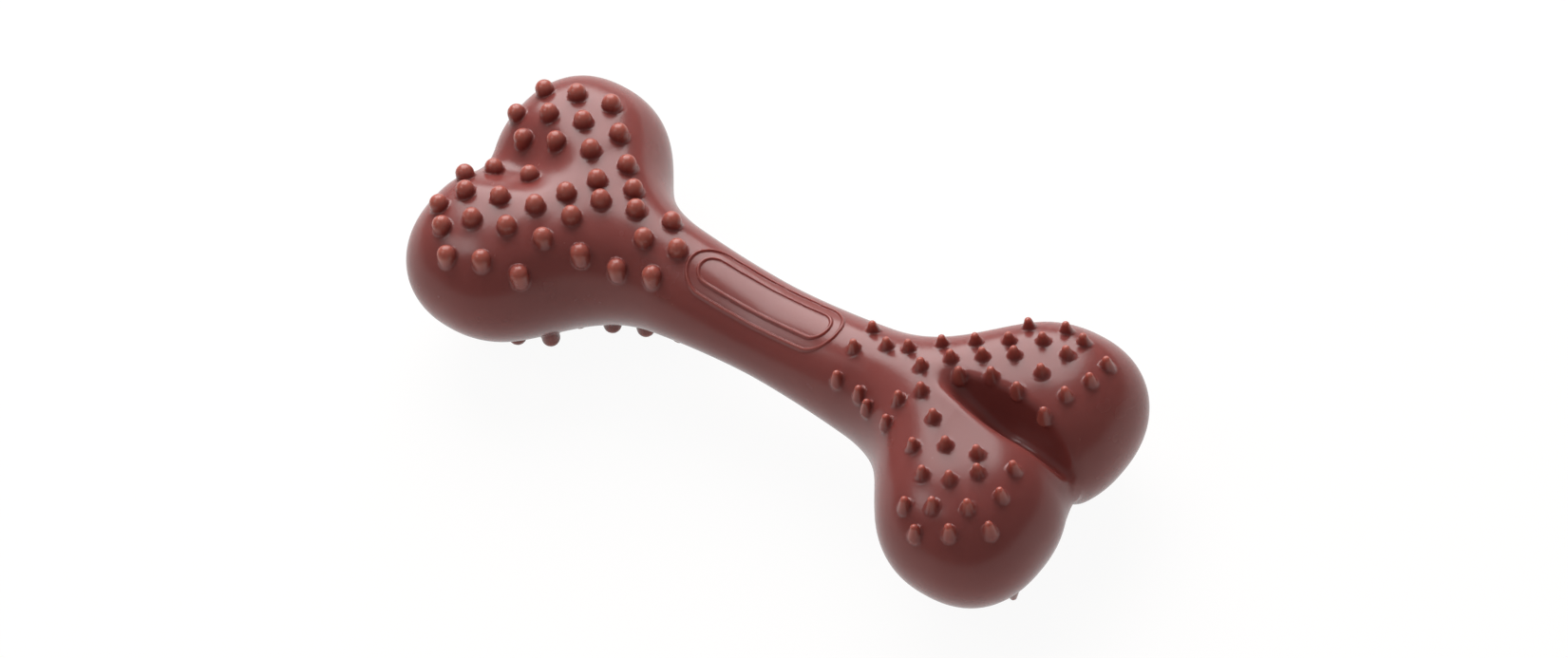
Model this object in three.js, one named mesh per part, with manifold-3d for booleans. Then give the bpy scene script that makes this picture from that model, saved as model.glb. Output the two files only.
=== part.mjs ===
// A dental chew bone: one rubber moulding, drawn as the regions of the mould that make it.
// Sizes are in mm. X runs along the bone, Y across it, Z up from the ground it lies on.
import * as THREE from "three";
import { mergeVertices } from "three/addons/utils/BufferGeometryUtils.js";
import Module from "manifold-3d";

// Overall length, and the four round lobes (knuckles) that make the two ends.
// The two on the right are set a little towards the front.
const BONE_LENGTH = 125;
const LOBE_LENGTH = 27.4;
const LOBE_WIDTH = 29.4;
const LOBE_HEIGHT = 27;
const LOBE_SPREAD = 22.4;
const RIGHT_LOBE_SET = 0.8;
const LOBE_SQUARENESS = 2.3;
const LOBE_BLEND = 4.5;

// The shaft, and the necks by which it flares into the lobes
const SHAFT_DIAMETER = 15.9;
const NECK_FLARE_Y = 2.2;
const NECK_FLARE_Z = 5.5;
const NECK_FLARE_LIMIT = 1.3;
const NECK_CURVE = 1.7;
const NECK_LENGTH = 16.6;
const NECK_OVERLAP = 1.5;
const NECK_DOME = 12;
const NECK_BLEND = 16;
const SHAFT_CORE = 0.3;

// The ends are flattened a little at the top and the bottom, this far apart
const CROWN_HEIGHT = 28.4;
const CROWN_BLEND = 5;

// The trough between the two lobes: soft and short on the left, narrow and long on the right.
// Lengths count inwards from the tip of the bone, depths down from the crown.
const LEFT_TROUGH_LENGTH = 25.5;
const LEFT_TROUGH_RUN_IN = 17;
const LEFT_TROUGH_DEPTH = 5.6;
const LEFT_TROUGH_FALL = 2;
const LEFT_TROUGH_INNER_WIDTH = 8;
const LEFT_TROUGH_WIDTH = 12.4;
const LEFT_TROUGH_TIP_WIDTH = 9.6;
const LEFT_TROUGH_CURVE = 2.2;
const LEFT_TROUGH_BLEND = 4;
const RIGHT_TROUGH_LENGTH = 30.5;
const RIGHT_TROUGH_RUN_IN = 17;
const RIGHT_TROUGH_DEPTH = 8.6;
const RIGHT_TROUGH_FALL = 4;
const RIGHT_TROUGH_INNER_WIDTH = 3.2;
const RIGHT_TROUGH_WIDTH = 7.6;
const RIGHT_TROUGH_TIP_WIDTH = 3.6;
const RIGHT_TROUGH_CURVE = 2.4;

// Where the moulding divides: the bare side band, the bare panel and the necks
const BAND_HEIGHT = 6;
const PANEL_LENGTH = 30.8;
const PANEL_SEAT = 5.25;
const KNUCKLE_START = 34;

// The two raised lines of the bare panel, one inside the other
const OUTLINE_WIDTH = 9.6;
const OUTLINE_LINE = 0.6;
const OUTLINE_RISE = 0.35;
const OUTLINE_INSET = 0.4;
const OUTLINE_GAP = 1.9;
const OUTLINE_ROOT = 0.4;

// Ball-headed nubs of the left end
const DOME_DIAMETER = 3.1;
const DOME_HEIGHT = 2.45;
const DOME_PITCH = 6.2;

// Pointed nubs of the right end
const PEG_DIAMETER = 2.3;
const PEG_TIP = 1.3;
const PEG_ROUND = 0.15;
const PEG_HEIGHT = 2.3;
const PEG_SKIRT = 0.5;
const PEG_PITCH = 5.3;

// The lower face repeats the rows of the upper one, moved this far towards the back
const DOME_SHIFT = 3;
const PEG_SHIFT = 2.8;

// Every nub is rooted this far above the seat of its chew face, and clear of the shaft
const NUB_ROOT = 0.4;
const NUB_CLEARANCE = 0.1;
const NUB_SIDES = 6;
const HEAD_STEPS = 2;

// How finely the curved surfaces are divided, and where the rays that find them start
const END_DETAIL = 9;
const END_INSET = 5.2;
const SHAFT_SIDES = 32;
const SHAFT_RINGS = 4;
const TROUGH_SIDES = 14;
const TROUGH_RINGS = 16;
const TROUGH_REACH = 1.3;
const RAY_STEP = 0.4;

// Places that follow from the sizes above
const LOBE_X = (BONE_LENGTH - LOBE_LENGTH) / 2;
const LOBE_Y = LOBE_SPREAD / 2;
const SHAFT_END = PANEL_LENGTH / 2;
const NECK_END = SHAFT_END + NECK_LENGTH;
const BAND = BAND_HEIGHT / 2;
const END_CENTRE = LOBE_X - END_INSET;
const FAR = BONE_LENGTH;

const wasm = await Module();
wasm.setup();

// The smaller of two values, with the crease between them rounded
function smoothJoin(a, b, blend) {
  const h = Math.max(blend - Math.abs(a - b), 0) / blend;
  return Math.min(a, b) - (h * h * blend) / 4;
}

// Below zero inside one lobe: round from the side, a little square in plan
function lobeValue(along, across, up) {
  const a = Math.abs(along) / (LOBE_LENGTH / 2);
  const b = Math.abs(across) / (LOBE_WIDTH / 2);
  const c = up / (LOBE_HEIGHT / 2);
  const p = LOBE_SQUARENESS;
  const plan = Math.max((a ** p + b ** p) ** (1 / p), 1e-6);
  const reach = Math.hypot(plan, c);
  const slopeA = ((a / plan) ** (p - 1) * plan) / reach / (LOBE_LENGTH / 2);
  const slopeB = ((b / plan) ** (p - 1) * plan) / reach / (LOBE_WIDTH / 2);
  const slopeC = c / reach / (LOBE_HEIGHT / 2);
  return (reach - 1) / Math.hypot(slopeA, slopeB, slopeC);
}

// Below zero inside the shaft and its flared necks
function shaftValue(x, y, z) {
  const dome = NECK_END + NECK_OVERLAP;
  const flare = Math.min(x / NECK_END, NECK_FLARE_LIMIT) ** NECK_CURVE;
  const ry = SHAFT_DIAMETER / 2 + NECK_FLARE_Y * flare;
  const rz = SHAFT_DIAMETER / 2 + NECK_FLARE_Z * flare;
  const past = Math.max(x - dome, 0) / NECK_DOME;
  const reach = Math.hypot(y / ry, z / rz, past);
  if (reach < SHAFT_CORE) return -SHAFT_DIAMETER / 3;
  const slope = Math.hypot(y / ry ** 2, z / rz ** 2, past / NECK_DOME) / reach;
  return (reach - 1) / slope;
}

// The two troughs, each from its inner end out to the tip of the bone
const LEFT_TROUGH = {
  start: BONE_LENGTH / 2 - LEFT_TROUGH_LENGTH,
  runIn: LEFT_TROUGH_RUN_IN,
  depth: LEFT_TROUGH_DEPTH,
  fall: LEFT_TROUGH_FALL,
  widths: [LEFT_TROUGH_INNER_WIDTH, LEFT_TROUGH_WIDTH, LEFT_TROUGH_TIP_WIDTH],
  curve: LEFT_TROUGH_CURVE,
};
const RIGHT_TROUGH = {
  start: BONE_LENGTH / 2 - RIGHT_TROUGH_LENGTH,
  runIn: RIGHT_TROUGH_RUN_IN,
  depth: RIGHT_TROUGH_DEPTH,
  fall: RIGHT_TROUGH_FALL,
  widths: [RIGHT_TROUGH_INNER_WIDTH, RIGHT_TROUGH_WIDTH, RIGHT_TROUGH_TIP_WIDTH],
  curve: RIGHT_TROUGH_CURVE,
};

// Depth and half width of a trough at one place along it
function troughSection(trough, x) {
  const full = trough.start + trough.runIn;
  const t = THREE.MathUtils.smoothstep(x, trough.start, full);
  const s = THREE.MathUtils.clamp((x - full) / (BONE_LENGTH / 2 - full), 0, 1) ** 2;
  const [inner, middle, tip] = trough.widths;
  return {
    depth: trough.depth * t + trough.fall * s,
    half: (inner + (middle - inner) * t + (tip - middle) * s) / 2,
  };
}

// Height of a trough's dished floor, which rises past the crown on either side
function troughFloor(trough, x, y) {
  const { depth, half } = troughSection(trough, x);
  return CROWN_HEIGHT / 2 - depth * (1 - (Math.abs(y) / half) ** trough.curve);
}

// Below zero inside a trough
function troughValue(trough, x, y, z) {
  const { depth, half } = troughSection(trough, x);
  const slope = (depth * trough.curve * (Math.abs(y) / half) ** (trough.curve - 1)) / half;
  return (troughFloor(trough, x, y) - z) / Math.hypot(1, slope);
}

// Below zero inside the bone without its troughs
function wholeValue(x, y, z) {
  const ax = Math.abs(x);
  const az = Math.abs(z);
  const middle = x > 0 ? -RIGHT_LOBE_SET : 0;
  const back = lobeValue(ax - LOBE_X, y - middle - LOBE_Y, az);
  const front = lobeValue(ax - LOBE_X, y - middle + LOBE_Y, az);
  const lobes = smoothJoin(back, front, LOBE_BLEND);
  const joined = smoothJoin(lobes, shaftValue(ax, y, az), NECK_BLEND);
  return -smoothJoin(-joined, CROWN_HEIGHT / 2 - az, CROWN_BLEND);
}

// Below zero inside the bone, whose left troughs run softly into it and whose right ones have an edge
function boneValue(x, y, z) {
  const whole = wholeValue(x, y, z);
  if (x > 0) return Math.max(whole, -troughValue(RIGHT_TROUGH, x, y, Math.abs(z)));
  return -smoothJoin(-whole, troughValue(LEFT_TROUGH, -x, y, Math.abs(z)), LEFT_TROUGH_BLEND);
}

// How far from a point inside, along a direction, a form's surface lies at a given level
function reachOf(value, from, way, level, limit) {
  const at = (t) => value(from.x + way.x * t, from.y + way.y * t, from.z + way.z * t) - level;
  let inside = 0;
  let outside = 0;
  while (outside < limit && at(outside) < 0) {
    inside = outside;
    outside += RAY_STEP;
  }
  if (outside >= limit) return limit;
  for (let i = 0; i < 30; i += 1) {
    const middle = (inside + outside) / 2;
    if (at(middle) < 0) inside = middle;
    else outside = middle;
  }
  return inside;
}

// Height of the upper surface above the bone's middle plane, or null off the bone
function surfaceHeight(x, y) {
  if (boneValue(x, y, 0) >= 0) return null;
  return reachOf(boneValue, new THREE.Vector3(x, y, 0), new THREE.Vector3(0, 0, 1), 0, LOBE_HEIGHT);
}

// A three.js geometry as a closed solid, ready to be joined and cut
function solidOf(geometry) {
  const bare = geometry.clone();
  bare.deleteAttribute("normal");
  bare.deleteAttribute("uv");
  const merged = mergeVertices(bare, 1e-4);
  const corners = merged.index.array;
  const kept = [];
  for (let i = 0; i < corners.length; i += 3) {
    const [a, b, c] = corners.slice(i, i + 3);
    if (a !== b && b !== c && c !== a) kept.push(a, b, c);
  }
  return new wasm.Manifold(
    new wasm.Mesh({
      numProp: 3,
      vertProperties: merged.attributes.position.array,
      triVerts: new Uint32Array(kept),
    }),
  );
}

// A box between two corners, used as a cutter
function block([x0, y0, z0], [x1, y1, z1]) {
  const box = new THREE.BoxGeometry(x1 - x0, y1 - y0, z1 - z0);
  return solidOf(box.translate((x0 + x1) / 2, (y0 + y1) / 2, (z0 + z1) / 2));
}

// A right trough as a cutter: a box whose lower points are moved to the dished floor
function troughSolid(trough, up) {
  const box = new THREE.BoxGeometry(2, 2, 2, TROUGH_RINGS, TROUGH_SIDES, 1);
  const points = box.attributes.position;
  for (let i = 0; i < points.count; i += 1) {
    const x = THREE.MathUtils.mapLinear(points.getX(i), -1, 1, trough.start, BONE_LENGTH / 2 + RAY_STEP);
    const y = points.getY(i) * TROUGH_REACH * troughSection(trough, x).half;
    points.setXYZ(i, x, y, points.getZ(i) > 0 ? LOBE_HEIGHT : troughFloor(trough, x, y));
  }
  if (up < 0) box.rotateX(Math.PI);
  return solidOf(box);
}

// One whole end of the bone: a ball whose points are pushed out to the surface
function endSolid(side) {
  const value = side > 0 ? wholeValue : boneValue;
  const centre = new THREE.Vector3(side * END_CENTRE, 0, 0);
  const ball = new THREE.IcosahedronGeometry(1, END_DETAIL);
  const points = ball.attributes.position;
  const way = new THREE.Vector3();
  for (let i = 0; i < points.count; i += 1) {
    way.fromBufferAttribute(points, i).normalize();
    const inward = -way.x * side;
    const limit = inward > 0 ? (END_CENTRE - SHAFT_END / 4) / inward : FAR;
    const reach = reachOf(value, centre, way, 0, limit);
    points.setXYZ(i, centre.x + way.x * reach, way.y * reach, way.z * reach);
  }
  const end = solidOf(ball);
  if (side < 0) return end;
  return end.subtract(troughSolid(RIGHT_TROUGH, 1)).subtract(troughSolid(RIGHT_TROUGH, -1));
}

// The shaft between the necks: a drum whose points are pushed out to the surface
function shaftSolid(level) {
  const drum = new THREE.CylinderGeometry(1, 1, PANEL_LENGTH, SHAFT_SIDES, SHAFT_RINGS);
  drum.rotateZ(-Math.PI / 2);
  const points = drum.attributes.position;
  const axis = new THREE.Vector3();
  const way = new THREE.Vector3();
  for (let i = 0; i < points.count; i += 1) {
    axis.set(points.getX(i), 0, 0);
    way.set(0, points.getY(i), points.getZ(i));
    if (way.length() < 0.5) continue;
    const reach = reachOf(wholeValue, axis, way.normalize(), level, SHAFT_DIAMETER);
    points.setXYZ(i, axis.x, way.y * reach, way.z * reach);
  }
  return solidOf(drum);
}

// A bar with half-round ends, seen from above
function stadium(length, width) {
  const r = width / 2;
  const straight = length / 2 - r;
  const shape = new THREE.Shape();
  shape.moveTo(-straight, -r);
  shape.lineTo(straight, -r);
  shape.absarc(straight, 0, r, -Math.PI / 2, Math.PI / 2, false);
  shape.lineTo(-straight, r);
  shape.absarc(-straight, 0, r, Math.PI / 2, (Math.PI * 3) / 2, false);
  return shape;
}

// A raised line of the panel, standing higher than the shaft, at a distance inside its edge
function lineSolid(inset) {
  const length = PANEL_LENGTH - 2 * (OUTLINE_INSET + inset);
  const width = OUTLINE_WIDTH - 2 * inset;
  const line = stadium(length, width);
  line.holes.push(stadium(length - 2 * OUTLINE_LINE, width - 2 * OUTLINE_LINE));
  const wall = new THREE.ExtrudeGeometry(line, {
    depth: SHAFT_DIAMETER,
    bevelEnabled: false,
    curveSegments: 8,
  });
  return solidOf(wall.translate(0, 0, PANEL_SEAT + OUTLINE_ROOT));
}

// The bare panel on top of the shaft, with its raised lines
function panelSolid(shaft) {
  const above = block([-FAR, -FAR, PANEL_SEAT], [FAR, FAR, FAR]);
  const lines = lineSolid(0).add(lineSolid(OUTLINE_GAP)).intersect(shaftSolid(OUTLINE_RISE));
  return shaft.intersect(above).add(lines);
}

// The profile of a ball-headed nub, from its root up to its tip, in a plane through its axis
function domeProfile(root, foot) {
  const r = DOME_DIAMETER / 2;
  const middle = foot + DOME_HEIGHT - r;
  const profile = [new THREE.Vector2(0, root), new THREE.Vector2(r, root)];
  for (let i = 0; i <= HEAD_STEPS; i += 1) {
    const turn = ((i / HEAD_STEPS) * Math.PI) / 2;
    profile.push(new THREE.Vector2(r * Math.cos(turn), middle + r * Math.sin(turn)));
  }
  return profile;
}

// The profile of a pointed nub, whose flank goes on widening for a while below its foot
function pegProfile(root, foot) {
  const tip = foot + PEG_HEIGHT;
  const skirt = Math.max(foot - PEG_SKIRT, root + NUB_CLEARANCE);
  const spread = (PEG_DIAMETER - PEG_TIP) / 2 / PEG_HEIGHT;
  const r = PEG_TIP / 2 + spread * (tip - skirt);
  return [
    new THREE.Vector2(0, root),
    new THREE.Vector2(r, root),
    new THREE.Vector2(r, skirt),
    new THREE.Vector2(PEG_TIP / 2, tip - PEG_ROUND),
    new THREE.Vector2(0, tip),
  ];
}

// One nub standing on the surface at (x, y), or null where its foot would miss the chew face
function nubSolid(side, up, x, y) {
  const root = BAND + NUB_ROOT;
  const foot = surfaceHeight(x, y);
  if (foot === null || foot < root + NUB_ROOT) return null;
  const profile = side < 0 ? domeProfile(root, foot) : pegProfile(root, foot);
  if (Math.abs(x) - profile[1].x < SHAFT_END + NUB_CLEARANCE) return null;
  const nub = new THREE.LatheGeometry(profile, NUB_SIDES);
  return solidOf(nub.rotateX((up * Math.PI) / 2).translate(x, y, 0));
}

// Rows of nubs by their first and last place, measured from the middle of the end: outwards along X, then Y
const DOME_ROWS = [
  { from: [-0.6, -14.5], to: [-30.2, -5.8] },
  { from: [4.2, -10.5], to: [-14.2, -5.5] },
  { from: [-26.1, -2], to: [-31.7, -0.4] },
  { from: [7.8, -6.8], to: [7.8, -6.8] },
  { from: [5.6, -2.4], to: [-1.6, -1.4] },
  { from: [-10.7, -2.4], to: [-27.5, 3.5] },
  { from: [6.8, -14.5], to: [3.4, -17.8] },
  { from: [-0.2, -21.3], to: [-11.8, -17.3] },
  { from: [7.3, 13.7], to: [-4.8, 16.6] },
  { from: [8.7, 7.8], to: [-9.9, 12.3] },
  { from: [4.5, 4.3], to: [-15, 8] },
  { from: [-13.3, 2.4], to: [-19, 4.6] },
];
const PEG_ROWS = [
  { from: [-29.5, 3.5], to: [-29.6, -6.2] },
  { from: [-24.8, 1.2], to: [-21.2, 2.3] },
  { from: [-16.8, -0.2], to: [-16.8, -0.2] },
  { from: [-24.6, -7], to: [-22.1, -8.3] },
  { from: [-16.6, -6.6], to: [-16.6, -10.2] },
  { from: [-13.9, -4.1], to: [-4.6, -10.4] },
  { from: [0.4, -9.1], to: [6.2, -7.8] },
  { from: [-9.2, -12.8], to: [-0.5, -19.8] },
  { from: [-4.8, -21.3], to: [-1.3, -23.8] },
  { from: [-0.5, -15.1], to: [4.5, -17.4] },
  { from: [2.4, -11.8], to: [7.3, -12.8] },
  { from: [3.9, -21.7], to: [8.7, -17.9] },
  { from: [-17.1, 5.6], to: [-3.8, 14.1] },
  { from: [0.9, 13.9], to: [6.5, 12.1] },
  { from: [-7.9, 15.9], to: [-2.6, 18.5] },
  { from: [1.2, 17.9], to: [6.5, 16.5] },
  { from: [-13.6, 3.3], to: [-5.7, 9.2] },
  { from: [-0.2, 8.7], to: [5.1, 7.6] },
  { from: [-10.8, 1.6], to: [-6.2, 3.9] },
  { from: [-1.4, 4], to: [4.1, 3.2] },
];

// The upper or lower chew face of an end, with its nubs standing on it
function chewFaceSolid(end, side, up) {
  const low = up > 0 ? BAND : -FAR;
  const high = up > 0 ? FAR : -BAND;
  const inner = side > 0 ? SHAFT_END : -FAR;
  const outer = side > 0 ? FAR : -SHAFT_END;
  let face = end.intersect(block([inner, -FAR, low], [outer, FAR, high]));
  const domes = { rows: DOME_ROWS, pitch: DOME_PITCH, shift: DOME_SHIFT };
  const pegs = { rows: PEG_ROWS, pitch: PEG_PITCH, shift: PEG_SHIFT };
  const { rows, pitch, shift } = side < 0 ? domes : pegs;
  for (const { from, to } of rows) {
    const gaps = Math.round(Math.hypot(to[0] - from[0], to[1] - from[1]) / pitch);
    for (let i = 0; i <= gaps; i += 1) {
      const t = gaps ? i / gaps : 0;
      const out = THREE.MathUtils.lerp(from[0], to[0], t);
      const across = THREE.MathUtils.lerp(from[1], to[1], t) + (up < 0 ? shift : 0);
      const nub = nubSolid(side, up, side * (LOBE_X + out), across);
      if (nub) face = face.add(nub);
    }
  }
  return face;
}

// Part of the bare side band of an end, between two distances along X and two across
function bandSolid(end, side, [near, far], [y0, y1]) {
  const x0 = side > 0 ? near : -far;
  const x1 = side > 0 ? far : -near;
  return end.intersect(block([x0, y0, -BAND], [x1, y1, BAND]));
}

// Every region of the moulding by name
const solids = new Map();
const shaft = shaftSolid(0);
solids.set("shaft", shaft.intersect(block([-FAR, -FAR, -FAR], [FAR, FAR, PANEL_SEAT])));
solids.set("bare_panel", panelSolid(shaft));
for (const [word, side] of [["left", -1], ["right", 1]]) {
  const end = endSolid(side);
  solids.set(`neck_${word}`, bandSolid(end, side, [SHAFT_END, KNUCKLE_START], [-FAR, FAR]));
  solids.set(`knuckle_${word}_front`, bandSolid(end, side, [KNUCKLE_START, FAR], [-FAR, 0]));
  solids.set(`knuckle_${word}_back`, bandSolid(end, side, [KNUCKLE_START, FAR], [0, FAR]));
  solids.set(`chew_face_${word}_top`, chewFaceSolid(end, side, 1));
  solids.set(`chew_face_${word}_bottom`, chewFaceSolid(end, side, -1));
}

// The bone lies on the tips of its lowest nubs, with the middle of its base at the origin
const boxes = [...solids.values()].map((solid) => solid.boundingBox());
const low = [0, 1, 2].map((i) => Math.min(...boxes.map((box) => box.min[i])));
const high = [0, 1, 2].map((i) => Math.max(...boxes.map((box) => box.max[i])));

// A finished solid as a named mesh in its place above the ground
function meshOf(name, solid, material) {
  const { vertProperties, triVerts } = solid.getMesh();
  const geometry = new THREE.BufferGeometry();
  geometry.setAttribute("position", new THREE.BufferAttribute(vertProperties, 3));
  geometry.setIndex(new THREE.BufferAttribute(triVerts, 1));
  geometry.translate(-(low[0] + high[0]) / 2, -(low[1] + high[1]) / 2, -low[2]);
  geometry.computeVertexNormals();
  const mesh = new THREE.Mesh(geometry, material);
  mesh.name = name;
  return mesh;
}

const rubber = new THREE.MeshStandardMaterial({ color: 0x744740, roughness: 0.45, metalness: 0 });
const bone = new THREE.Group();
bone.name = "dental_chew_bone";
for (const [name, solid] of solids) bone.add(meshOf(name, solid, rubber));

export default bone;
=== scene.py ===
# %% [markdown]
# # A dental chew bone
# A dog's dental bone is one piece of rubber, pressed in a mould of two halves. It has a slim shaft, two ends
# of two round lobes each, a trough between the lobes, and rows of small nubs that brush the teeth.
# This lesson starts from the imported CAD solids, which give the bone its size and place, and grows one smooth
# rubber skin over them. Everything is in metres in the CAD frame, and the formulas work in millimetres.

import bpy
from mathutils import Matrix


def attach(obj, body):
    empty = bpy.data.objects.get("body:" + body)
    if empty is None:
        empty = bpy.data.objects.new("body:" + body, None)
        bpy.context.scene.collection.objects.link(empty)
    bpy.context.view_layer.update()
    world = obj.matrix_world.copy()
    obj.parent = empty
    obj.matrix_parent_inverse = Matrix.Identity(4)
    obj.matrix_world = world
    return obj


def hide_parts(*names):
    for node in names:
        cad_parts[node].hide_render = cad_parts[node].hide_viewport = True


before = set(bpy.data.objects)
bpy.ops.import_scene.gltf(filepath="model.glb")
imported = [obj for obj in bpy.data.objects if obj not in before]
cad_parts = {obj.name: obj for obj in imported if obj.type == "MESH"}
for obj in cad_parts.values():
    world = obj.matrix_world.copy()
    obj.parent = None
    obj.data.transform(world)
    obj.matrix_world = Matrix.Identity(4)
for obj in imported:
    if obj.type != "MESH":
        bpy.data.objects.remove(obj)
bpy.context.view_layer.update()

# %% Tools for the rest of the lesson
import math

import bmesh
import bpy
import numpy as np
from mathutils import Matrix, Vector

MM = 0.001


def node_middle(name):
    """The middle of a CAD node's box, in millimetres."""
    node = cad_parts[name]
    corners = np.array([node.matrix_world @ Vector(corner) for corner in node.bound_box])
    return (corners.min(axis=0) + corners.max(axis=0)) / 2 / MM


# The shaft lies round the bone's long axis, and the neck's band lies evenly about its middle plane
middle = np.array([*node_middle("shaft")[:2], node_middle("neck_left")[2]])
print("CAD nodes:", len(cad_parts), "middle of the bone mm:", middle.round(2))

# %% [markdown]
# ## The shape as a formula
# The skin could be sculpted or subdivided from a cage. A formula is surer here: the bone is a few round
# shapes that flow into each other, and a smooth minimum of their distances gives exactly that flow, with
# the same sizes as the CAD. A value below zero is inside. The lobes are round from the side and a little
# square from above, the shaft flares into them, the crown is flattened, and a dished groove cuts the trough.

# %% Sizes of the body, in millimetres
BONE_LENGTH = 125.0
LOBE_LENGTH, LOBE_WIDTH, LOBE_HEIGHT = 27.4, 29.4, 27.0
LOBE_SPREAD = 22.4
RIGHT_LOBE_SET = 0.8
LOBE_SQUARENESS = 2.3
LOBE_BLEND = 4.5
SHAFT_DIAMETER = 15.9
NECK_FLARE_Y, NECK_FLARE_Z = 2.2, 5.5
NECK_FLARE_LIMIT = 1.3
NECK_CURVE = 1.7
NECK_LENGTH, NECK_OVERLAP = 16.6, 1.5
NECK_DOME = 12.0
NECK_BLEND = 16.0
SHAFT_CORE = 0.3
CROWN_HEIGHT, CROWN_BLEND = 28.4, 5.0
PANEL_LENGTH = 30.8
NECK_END = PANEL_LENGTH / 2 + NECK_LENGTH
LOBE_X = (BONE_LENGTH - LOBE_LENGTH) / 2
LOBE_Y = LOBE_SPREAD / 2
LEAST_REACH = 1e-6
CORE_VALUE = -SHAFT_DIAMETER / 3
HALVINGS = 40


# %% Round shapes and the way they flow together
def smooth_join(a, b, blend):
    """The smaller of two values, with the crease between them rounded."""
    near = np.maximum(blend - np.abs(a - b), 0.0) / blend
    return np.minimum(a, b) - near * near * blend / 4


def lobe(along, across, up):
    """Below zero inside one round lobe."""
    p = LOBE_SQUARENESS
    a = np.abs(along) / (LOBE_LENGTH / 2)
    b = np.abs(across) / (LOBE_WIDTH / 2)
    c = up / (LOBE_HEIGHT / 2)
    plan = np.maximum((a**p + b**p) ** (1 / p), LEAST_REACH)
    reach = np.hypot(plan, c)
    slope_a = (a / plan) ** (p - 1) * plan / reach / (LOBE_LENGTH / 2)
    slope_b = (b / plan) ** (p - 1) * plan / reach / (LOBE_WIDTH / 2)
    slope_c = c / reach / (LOBE_HEIGHT / 2)
    return (reach - 1) / np.sqrt(slope_a**2 + slope_b**2 + slope_c**2)


def shaft(x, y, z):
    """Below zero inside the shaft and its flared necks."""
    flare = np.minimum(x / NECK_END, NECK_FLARE_LIMIT) ** NECK_CURVE
    ry = SHAFT_DIAMETER / 2 + NECK_FLARE_Y * flare
    rz = SHAFT_DIAMETER / 2 + NECK_FLARE_Z * flare
    past = np.maximum(x - NECK_END - NECK_OVERLAP, 0.0) / NECK_DOME
    reach = np.sqrt((y / ry) ** 2 + (z / rz) ** 2 + past**2)
    slope = np.sqrt((y / ry**2) ** 2 + (z / rz**2) ** 2 + (past / NECK_DOME) ** 2)
    inside = reach < SHAFT_CORE
    return np.where(inside, CORE_VALUE, (reach - 1) * reach / np.where(inside, 1.0, slope))


# %% The troughs and the whole body
# Lengths count inwards from the tip of the bone, depths down from the crown
LEFT_TROUGH = {"length": 25.5, "run_in": 17.0, "depth": 5.6, "fall": 2.0, "widths": (8.0, 12.4, 9.6)}
LEFT_TROUGH |= {"curve": 2.2, "blend": 4.0}
RIGHT_TROUGH = {"length": 30.5, "run_in": 17.0, "depth": 8.6, "fall": 4.0, "widths": (3.2, 7.6, 3.6)}
RIGHT_TROUGH |= {"curve": 2.4, "blend": 1.2}


def trough(groove, x, y, z):
    """Below zero inside a groove that deepens over its run-in and falls to the tip of the bone."""
    start = BONE_LENGTH / 2 - groove["length"]
    full = start + groove["run_in"]
    t = np.clip((x - start) / groove["run_in"], 0.0, 1.0)
    t = t * t * (3 - 2 * t)
    s = np.clip((x - full) / (BONE_LENGTH / 2 - full), 0.0, 1.0) ** 2
    inner, wide, tip = groove["widths"]
    half = (inner + (wide - inner) * t + (tip - wide) * s) / 2
    depth = groove["depth"] * t + groove["fall"] * s
    away = np.abs(y) / half
    floor = CROWN_HEIGHT / 2 - depth * (1 - away ** groove["curve"])
    slope = depth * groove["curve"] * away ** (groove["curve"] - 1) / half
    return (floor - z) / np.hypot(1.0, slope)


def body(points):
    """Below zero inside the bare bone, for points measured from its middle."""
    x, y, z = np.abs(points[:, 0]), points[:, 1], np.abs(points[:, 2])
    across = np.where(points[:, 0] > 0, y + RIGHT_LOBE_SET, y)
    back, front = (lobe(x - LOBE_X, across - side * LOBE_Y, z) for side in (1, -1))
    lobes = smooth_join(back, front, LOBE_BLEND)
    whole = smooth_join(lobes, shaft(x, y, z), NECK_BLEND)
    crowned = -smooth_join(-whole, CROWN_HEIGHT / 2 - z, CROWN_BLEND)
    cuts = [-smooth_join(-crowned, trough(g, x, y, z), g["blend"]) for g in (LEFT_TROUGH, RIGHT_TROUGH)]
    return np.where(points[:, 0] < 0, *cuts)


def surface_height(places):
    """Height of the upper skin above the bone's middle at each (x, y)."""
    low = np.zeros(len(places))
    high = np.full(len(places), LOBE_HEIGHT)
    for _ in range(HALVINGS):
        half = (low + high) / 2
        inside = body(np.column_stack([places, half])) < 0
        low = np.where(inside, half, low)
        high = np.where(inside, high, half)
    return low


print("width mm:", LOBE_SPREAD + LOBE_WIDTH, "shaft top mm:", surface_height(np.array([[0.0, 0.0]])).round(2))

# %% [markdown]
# ## Rows of nubs
# On the real bone the nubs of the left end are ball-headed pegs in slanting rows, and those of the right end
# are small blunt cones that follow the lobes. A row is written as its first place and its last place,
# measured from the middle of the end, with the pitch between them, as a mould maker would set it out. The
# lower face repeats the rows a little further back. Each nub stands straight up from the skin, because that
# is how it leaves the mould.

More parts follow.
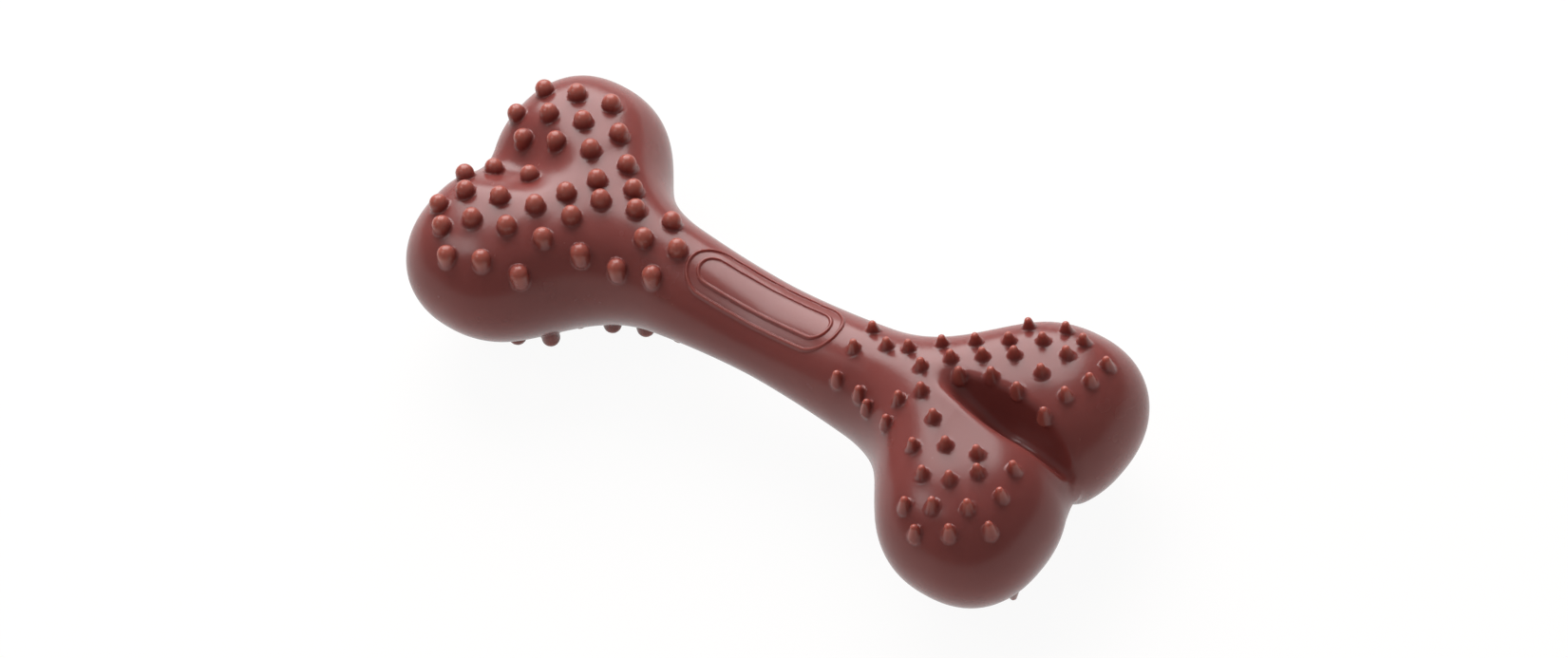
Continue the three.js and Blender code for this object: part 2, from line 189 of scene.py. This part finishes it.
# %% Sizes and rows of the nubs, in millimetres
DOME_DIAMETER, DOME_HEIGHT, DOME_PITCH = 3.1, 2.45, 6.2
PEG_DIAMETER, PEG_TIP, PEG_HEIGHT, PEG_PITCH = 2.3, 1.3, 2.3, 5.3
DOME_SHIFT, PEG_SHIFT = 3.0, 2.8
DOME_ROWS = [
    ((-0.6, -14.5), (-30.2, -5.8)),
    ((4.2, -10.5), (-14.2, -5.5)),
    ((-26.1, -2.0), (-31.7, -0.4)),
    ((7.8, -6.8), (7.8, -6.8)),
    ((5.6, -2.4), (-1.6, -1.4)),
    ((-10.7, -2.4), (-27.5, 3.5)),
    ((6.8, -14.5), (3.4, -17.8)),
    ((-0.2, -21.3), (-11.8, -17.3)),
    ((7.3, 13.7), (-4.8, 16.6)),
    ((8.7, 7.8), (-9.9, 12.3)),
    ((4.5, 4.3), (-15.0, 8.0)),
    ((-13.3, 2.4), (-19.0, 4.6)),
]
PEG_ROWS = [
    ((-29.5, 3.5), (-29.6, -6.2)),
    ((-24.8, 1.2), (-21.2, 2.3)),
    ((-16.8, -0.2), (-16.8, -0.2)),
    ((-24.6, -7.0), (-22.1, -8.3)),
    ((-16.6, -6.6), (-16.6, -10.2)),
    ((-13.9, -4.1), (-4.6, -10.4)),
    ((0.4, -9.1), (6.2, -7.8)),
    ((-9.2, -12.8), (-0.5, -19.8)),
    ((-4.8, -21.3), (-1.3, -23.8)),
    ((-0.5, -15.1), (4.5, -17.4)),
    ((2.4, -11.8), (7.3, -12.8)),
    ((3.9, -21.7), (8.7, -17.9)),
    ((-17.1, 5.6), (-3.8, 14.1)),
    ((0.9, 13.9), (6.5, 12.1)),
    ((-7.9, 15.9), (-2.6, 18.5)),
    ((1.2, 17.9), (6.5, 16.5)),
    ((-13.6, 3.3), (-5.7, 9.2)),
    ((-0.2, 8.7), (5.1, 7.6)),
    ((-10.8, 1.6), (-6.2, 3.9)),
    ((-1.4, 4.0), (4.1, 3.2)),
]


def nub_places(side, up):
    """Every nub on one face of an end as x, y and the height of the skin under it."""
    domes, pegs = (DOME_ROWS, DOME_PITCH, DOME_SHIFT), (PEG_ROWS, PEG_PITCH, PEG_SHIFT)
    rows, pitch, shift = domes if side < 0 else pegs
    places = []
    for first, last in rows:
        first, last = np.array(first), np.array(last)
        gaps = round(np.linalg.norm(last - first) / pitch)
        for i in range(gaps + 1):
            out, across = first + (last - first) * (i / max(gaps, 1))
            places.append((side * (LOBE_X + out), across))
    places = np.array(places)
    if up < 0:
        places[:, 1] += shift
    return np.column_stack([places, surface_height(places)])


nubs = {(side, up): nub_places(side, up) for side in (-1, 1) for up in (1, -1)}
print("nubs of each face:", {face: len(places) for face, places in nubs.items()})

# %% [markdown]
# ## The nubs as formulas
# A ball-headed nub is a capsule: everything within a radius of an upright line. A pointed nub is a round
# cone: the radius shrinks from foot to tip. Both are joined to the body with the same smooth minimum, which
# gives each nub the small fillet at its foot that the mould leaves. Only the nearest nub can touch a point,
# so each point asks for that one alone.


# %% Nub distances
NUB_SINK = 0.8
OUT_OF_REACH = 4.0
PEG_SKIRT = 0.5


def nearest(points, places):
    """For each point, the offset in plan from its nearest nub and the height of that nub's foot."""
    offset = points[:, None, :2] - places[None, :, :2]
    choice = np.argmin((offset**2).sum(axis=2), axis=1)
    span = offset[np.arange(len(points)), choice]
    return np.hypot(span[:, 0], span[:, 1]), places[choice, 2]


def dome(away, rise):
    """Below zero inside a ball-headed nub."""
    r = DOME_DIAMETER / 2
    return np.hypot(away, rise - np.clip(rise, -NUB_SINK, DOME_HEIGHT - r)) - r


def peg(away, rise):
    """Below zero inside a blunt cone, whose flank goes on widening for a while below its foot."""
    base, tip = PEG_DIAMETER / 2, PEG_TIP / 2
    height = PEG_HEIGHT - tip
    t = np.clip(rise / height, -PEG_SKIRT / height, 1.0)
    return np.hypot(away, rise - t * height) - (base + (tip - base) * t)


def nub_value(points):
    """Below zero inside a nub."""
    value = np.full(len(points), OUT_OF_REACH)
    for (side, up), places in nubs.items():
        here = (np.sign(points[:, 0]) == side) & (np.sign(points[:, 2]) == up)
        away, foot = nearest(points[here], places)
        rise = np.abs(points[here, 2]) - foot
        value[here] = dome(away, rise) if side < 0 else peg(away, rise)
    return value


# %% [markdown]
# ## The panel
# Along the top of the shaft the mould has two raised lines, one inside the other, each in the shape of a bar
# with round ends, round a bare panel. The lines follow the round of the shaft, so they are added as a small
# rise of the skin wherever the plan distance to one of those bars is short.

# %% Panel lines, in millimetres
OUTLINE_INSET = 0.4
OUTLINE_GAP = 1.9
OUTLINE_WIDTH = 9.6
OUTLINE_LINE = 0.6
OUTLINE_RISE = 0.35
OUTLINE_SHOULDER = 1.25


def panel_rise(points):
    """How far the skin rises at each point for the raised lines of the panel."""
    r = OUTLINE_WIDTH / 2
    straight = PANEL_LENGTH / 2 - OUTLINE_INSET - r
    beyond = np.maximum(np.abs(points[:, 0]) - straight, 0.0)
    inset = r - np.hypot(beyond, points[:, 1])
    line = OUTLINE_LINE / 2
    away = np.minimum(np.abs(inset - line), np.abs(inset - OUTLINE_GAP - line))
    crown = np.clip(OUTLINE_SHOULDER - away / line, 0.0, 1.0)
    crown = crown * crown * (3 - 2 * crown)
    return np.where(points[:, 2] > 0, OUTLINE_RISE * crown, 0.0)


NUB_FILLET = 0.35


def skin(points):
    """Below zero inside the finished bone with its nubs and panel lines."""
    return smooth_join(body(points) - panel_rise(points), nub_value(points), NUB_FILLET)


def slope(points, step=0.02):
    """The way the skin's value grows at each point."""
    ways = np.eye(3) * step
    return np.column_stack([(skin(points + w) - skin(points - w)) / (2 * step) for w in ways])


# %% [markdown]
# ## One rubber skin
# The CAD solids are joined and remeshed into one even net of small squares: Blender's voxel Remesh swallows
# every inner wall, so the twelve regions of the moulding become one closed skin. The net is coarse at the
# nubs, so each point then slides along the slope of the formula until its value is zero. The points are
# evened out between slides, and the formula's own slope gives the normals, so the gloss runs smoothly.

# %% Join and remesh the CAD solids
VOXEL = 0.42


def rough_net():
    """All CAD solids as one remeshed mesh, in metres."""
    joined = bmesh.new()
    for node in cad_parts.values():
        start = len(joined.verts)
        joined.from_mesh(node.data)
        joined.verts.ensure_lookup_table()
        for vert in joined.verts[start:]:
            vert.co = node.matrix_world @ vert.co
    mesh = bpy.data.meshes.new("rough_bone")
    joined.to_mesh(mesh)
    joined.free()
    rough = bpy.data.objects.new("rough_bone", mesh)
    bpy.context.scene.collection.objects.link(rough)
    remesh = rough.modifiers.new("even_net", "REMESH")
    remesh.mode = "VOXEL"
    remesh.voxel_size = VOXEL * MM
    graph = bpy.context.evaluated_depsgraph_get()
    net = bpy.data.meshes.new_from_object(rough.evaluated_get(graph))
    bpy.data.objects.remove(rough)
    bpy.data.meshes.remove(mesh)
    return net


net = rough_net()
print("remeshed net:", len(net.vertices), "points,", len(net.polygons), "faces")

# %% Finer squares where the panel lines run
PANEL_CUTS = 2
bm = bmesh.new()
bm.from_mesh(net)
reach_x = (PANEL_LENGTH / 2 + VOXEL) * MM
reach_y = (OUTLINE_WIDTH / 2 + 2 * VOXEL) * MM


def on_panel(vert):
    x, y, z = vert.co - Vector(middle) * MM
    return abs(x) < reach_x and abs(y) < reach_y and z > 0


lines = [edge for edge in bm.edges if all(on_panel(vert) for vert in edge.verts)]
bmesh.ops.subdivide_edges(bm, edges=lines, cuts=PANEL_CUTS, use_grid_fill=True)
bm.to_mesh(net)
bm.free()
print("with the panel refined:", len(net.vertices), "points")

# %% Slide the points onto the formula
FIRST_SLIDES, LATER_SLIDES, EVENING_ROUNDS = 4, 2, 3
count = len(net.vertices)
flat = np.empty(count * 3)
net.vertices.foreach_get("co", flat)
points = flat.reshape(-1, 3) / MM - middle
pairs = np.empty(len(net.edges) * 2, dtype=int)
net.edges.foreach_get("vertices", pairs)
pairs = pairs.reshape(-1, 2)
share = np.bincount(pairs.ravel(), minlength=count)[:, None]


def slide(points, rounds, least_slope=0.2, longest_step=0.4):
    """Moves each point along the slope of the formula until it lies on the skin."""
    for _ in range(rounds):
        way = slope(points)
        steep = np.maximum((way**2).sum(axis=1, keepdims=True), least_slope)
        points = points - np.clip(skin(points)[:, None] * way / steep, -longest_step, longest_step)
    return points


def evened(points):
    """Each point moved half way to the average of its neighbours."""
    total = np.zeros_like(points)
    np.add.at(total, pairs[:, 0], points[pairs[:, 1]])
    np.add.at(total, pairs[:, 1], points[pairs[:, 0]])
    return (points + total / share) / 2


points = slide(points, FIRST_SLIDES)
for _ in range(EVENING_ROUNDS):
    points = slide(evened(points), LATER_SLIDES)
points = slide(points, LATER_SLIDES)
print("largest distance off the skin mm:", float(np.abs(skin(points)).max().round(4)))

# %% The skin becomes a Blender object that stands for the CAD solids
NUB_GLOW_START, NUB_GLOW_SPAN = 0.15, 1.6

net.vertices.foreach_set("co", ((points + middle) * MM).ravel())
net.name = "rubber_skin"
net.shade_smooth()
normals = slope(points)
normals /= np.linalg.norm(normals, axis=1, keepdims=True)
net.normals_split_custom_set_from_vertices(normals.tolist())
# Painted glow: the nub layer grows from the body's skin up each nub, and the finish paints the nubs paler and
# redder by it, standing in for light through the thin rubber and on their lit tops.
nub_glow_layer = net.attributes.new("nub", "FLOAT", "POINT")
nub_glow_rise = (body(points) - NUB_GLOW_START) / NUB_GLOW_SPAN
nub_glow_layer.data.foreach_set("value", np.clip(nub_glow_rise, 0.0, 1.0))
bone = bpy.data.objects.new("rubber_skin", net)
bpy.context.scene.collection.objects.link(bone)
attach(bone, "root")
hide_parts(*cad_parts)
print("skin:", len(net.polygons), "faces")

# %% [markdown]
# ## Sums between sockets
# A finish is a net of nodes. Written by hand, each sum takes three lines, so one small class wraps a
# socket: adding or multiplying two of them makes the Math node that the sum needs, and one method makes any
# other node from its type, its settings and its inputs.


# %% The socket class
class Wire:
    """A socket of a node tree that can be used in sums."""

    def __init__(self, tree, socket=None):
        self.tree = tree
        self.socket = socket

    def node(self, kind, settings=None, inputs=None, output=0):
        """Makes a node of any type: its settings first, then the values or wires of its inputs."""
        made = self.tree.nodes.new(kind)
        for name, value in (settings or {}).items():
            setattr(made, name, value)
        for name, value in (inputs or {}).items():
            if isinstance(value, Wire):
                self.tree.links.new(value.socket, made.inputs[name])
            else:
                made.inputs[name].default_value = value
        return Wire(self.tree, made.outputs[output])

    def math(self, operation, first, second):
        return self.node("ShaderNodeMath", {"operation": operation}, {0: first, 1: second})

    def __add__(self, other):
        return self.math("ADD", self, other)

    def __radd__(self, other):
        return self.math("ADD", other, self)

    def __sub__(self, other):
        return self.math("SUBTRACT", self, other)

    def __mul__(self, other):
        return self.math("MULTIPLY", self, other)

    def mix(self, first, second):
        """Blends two colours by this value."""
        sockets = {0: self, 6: first, 7: second}
        return self.node("ShaderNodeMix", {"data_type": "RGBA"}, sockets, output=2)

    def to(self, socket):
        self.tree.links.new(self.socket, socket)


def srgb(red, green, blue):
    """A colour as picked from a screen, turned into the light values that Blender works in."""
    light = []
    for channel in (red, green, blue):
        c = channel / 255
        light.append(c / 12.92 if c <= 0.04045 else ((c + 0.055) / 1.055) ** 2.4)
    return (*light, 1.0)


# %% [markdown]
# ## Moulded rubber
# The rubber is chocolate brown, satin, and a little translucent, so that thin nubs and edges glow warmer
# than the thick lobes. Its colour drifts softly with the flow in the mould, and a fine grain breaks the gloss.
# The nubs are painted paler and redder towards their tips, a painted glow for light through the thin rubber
# and on their lit tops. The rest of the light that travels inside is the shader's own subsurface setting.

# %% The rubber finish
BODY_DEEP, BODY_PALE = srgb(118, 57, 54), srgb(129, 64, 59)
# Painted glow: the nubs' paler, redder colour stands in for light through the thin rubber and on their lit
# tops; it is the same rubber as the body.
NUB_GLOW_COLOUR, NUB_GLOW_SHARE = srgb(158, 85, 73), 0.9
DRIFT_SCALE, RIPPLE_SCALE, GRAIN_SCALE = 55.0, 260.0, 2400.0
DRIFT_DETAIL, FINE_DETAIL = 3.0, 2.0
NOISE_MIDDLE = 0.5
ROUGHNESS, RIPPLE_ROUGHNESS, DRIFT_ROUGHNESS = 0.25, 0.12, 0.08
GRAIN_SHARE = 0.35
BUMP_STRENGTH, BUMP_DEPTH = 0.12, 0.0002
RUBBER_SETTINGS = {
    "Subsurface Weight": 0.35,
    "Subsurface Radius": (1.0, 0.45, 0.35),
    "Subsurface Scale": 0.003,
    "IOR": 1.45,
    "Specular IOR Level": 0.4,
}


def rubber_finish():
    """Satin rubber with a soft drift of colour, a painted glow that makes the nubs paler, and a fine grain."""
    material = bpy.data.materials.new("moulded_rubber")
    material.use_nodes = True
    tree = material.node_tree
    shader = tree.nodes["Principled BSDF"]
    start = Wire(tree)
    place = start.node("ShaderNodeTexCoord", output="Object")
    drift, ripple, grain = (
        start.node("ShaderNodeTexNoise", None, {"Vector": place, "Scale": scale, "Detail": detail})
        for scale, detail in (
            (DRIFT_SCALE, DRIFT_DETAIL),
            (RIPPLE_SCALE, FINE_DETAIL),
            (GRAIN_SCALE, FINE_DETAIL),
        )
    )
    nub = start.node("ShaderNodeAttribute", {"attribute_name": "nub"}, output="Fac")
    # Painted glow: the nubs turn paler and redder towards their tips.
    colour = (nub * NUB_GLOW_SHARE).mix(drift.mix(BODY_DEEP, BODY_PALE), NUB_GLOW_COLOUR)
    colour.to(shader.inputs["Base Color"])
    uneven = (ripple - NOISE_MIDDLE) * RIPPLE_ROUGHNESS + (drift - NOISE_MIDDLE) * DRIFT_ROUGHNESS
    (ROUGHNESS + uneven).to(shader.inputs["Roughness"])
    relief = grain * GRAIN_SHARE + ripple
    surface = {"Height": relief, "Strength": BUMP_STRENGTH, "Distance": BUMP_DEPTH}
    start.node("ShaderNodeBump", None, surface).to(shader.inputs["Normal"])
    for name, value in RUBBER_SETTINGS.items():
        shader.inputs[name].default_value = value
    return material


bone.data.materials.clear()
bone.data.materials.append(rubber_finish())
print("finish:", bone.data.materials[0].name)

# %% [markdown]
# ## Floor and light
# The picture is a catalogue shot on white. The floor is a white sheet that still takes the bone's soft
# shadow. The light comes from a large soft box above and behind, a small one above the left front, and a
# pale surround. The sheet is white to the camera and in the bone's gloss by its own colour, and not from more
# light on the bone.

# %% White floor
WHITE = (1.0, 1.0, 1.0, 1.0)
SHEET_REACH = 2.0
SHEET_WHITE = 0.94
PAPER_COLOUR = (0.95, 0.85, 0.79, 1.0)
PAPER_ROUGHNESS = 0.9


def white_floor():
    """A paper sheet that looks white to the camera and in reflections, and still takes a shadow."""
    mesh = bpy.data.meshes.new("white_sheet")
    turns = ((-1, -1), (1, -1), (1, 1), (-1, 1))
    mesh.from_pydata([(x * SHEET_REACH, y * SHEET_REACH, 0) for x, y in turns], [], [(0, 1, 2, 3)])
    floor = bpy.data.objects.new("white_sheet", mesh)
    bpy.context.scene.collection.objects.link(floor)
    material = bpy.data.materials.new("white_paper")
    material.use_nodes = True
    tree = material.node_tree
    start = Wire(tree)
    seen = start.node("ShaderNodeLightPath", output="Is Camera Ray")
    mirrored = start.node("ShaderNodeLightPath", output="Is Glossy Ray")
    paper = tree.nodes["Principled BSDF"]
    paper.inputs["Base Color"].default_value = PAPER_COLOUR
    paper.inputs["Roughness"].default_value = PAPER_ROUGHNESS
    glow = start.node("ShaderNodeEmission", None, {"Color": WHITE, "Strength": 1.0})
    lit = Wire(tree, paper.outputs[0])
    share = (seen + mirrored) * SHEET_WHITE
    sheet = start.node("ShaderNodeMixShader", None, {0: share, 1: lit, 2: glow})
    sheet.to(tree.nodes["Material Output"].inputs["Surface"])
    mesh.materials.append(material)
    return floor


print("floor:", white_floor().name)

# %% Soft boxes and surround
SURROUND = 0.28


def soft_box(name, place, size, power):
    """A square lamp that points at the bone."""
    light = bpy.data.lights.new(name, "AREA")
    light.shape = "RECTANGLE"
    light.size, light.size_y = size
    light.energy = power
    lamp = bpy.data.objects.new(name, light)
    lamp.location = place
    aim = Vector(middle) * MM - lamp.location
    lamp.rotation_euler = aim.to_track_quat("-Z", "Y").to_euler()
    bpy.context.scene.collection.objects.link(lamp)


soft_box("back_box", place=(-0.45, 0.5, 0.6), size=(0.85, 0.9), power=14.0)
soft_box("side_box", place=(-0.42, -0.3, 0.72), size=(0.3, 0.3), power=1.2)

world = bpy.data.worlds.new("pale_surround")
bpy.context.scene.world = world
world.use_nodes = True
air = Wire(world.node_tree)
direct = air.node("ShaderNodeLightPath", output="Is Camera Ray")
strength = SURROUND + direct * (1 - SURROUND)
background = world.node_tree.nodes["Background"]
background.inputs["Color"].default_value = WHITE
strength.to(background.inputs["Strength"])

# %% [markdown]
# ## Camera
# The photograph looks down on the bone from its front right, from well away, with the camera rolled a
# little, so that the bone's upright leans to the left. A long lens keeps the far end nearly as large as the
# near end. The distance and the scale were found by laying the formula's outline over the picture.

# %% Camera in the photograph's place
PICTURE_WIDTH, PICTURE_HEIGHT = 1651, 693
AZIMUTH, ELEVATION, LEAN = 46.85, 51.7, 12.0
DISTANCE = 800.0
PIXELS_PER_MM = 6.56
SENSOR_WIDTH = 36.0
CENTRE_ON_PICTURE = (812.3, 348.4)


def photo_camera():
    """Sets the camera and gives its lens in millimetres."""
    az, el, lean = (math.radians(a) for a in (AZIMUTH, ELEVATION, LEAN))
    back = Vector((math.sin(az) * math.cos(el), -math.cos(az) * math.cos(el), math.sin(el)))
    level = Vector((0, 0, 1)).cross(back).normalized()
    upright = back.cross(level)
    up = upright * math.cos(lean) + level * math.sin(lean)
    right = level * math.cos(lean) - upright * math.sin(lean)
    across = (PICTURE_WIDTH / 2 - CENTRE_ON_PICTURE[0]) / PIXELS_PER_MM
    down = (CENTRE_ON_PICTURE[1] - PICTURE_HEIGHT / 2) / PIXELS_PER_MM
    eye = Vector(middle) + back * DISTANCE + right * across + up * down
    data = bpy.data.cameras.new("photo_camera")
    data.sensor_width = SENSOR_WIDTH
    data.lens = PIXELS_PER_MM * DISTANCE / PICTURE_WIDTH * SENSOR_WIDTH
    camera = bpy.data.objects.new("photo_camera", data)
    turn = Matrix((right, up, back)).transposed()
    camera.matrix_world = Matrix.Translation(eye * MM) @ turn.to_4x4()
    bpy.context.scene.collection.objects.link(camera)
    bpy.context.scene.camera = camera
    return data.lens


print("lens mm:", round(photo_camera(), 1))

# %% Finish
bpy.context.scene.view_settings.view_transform = "Standard"
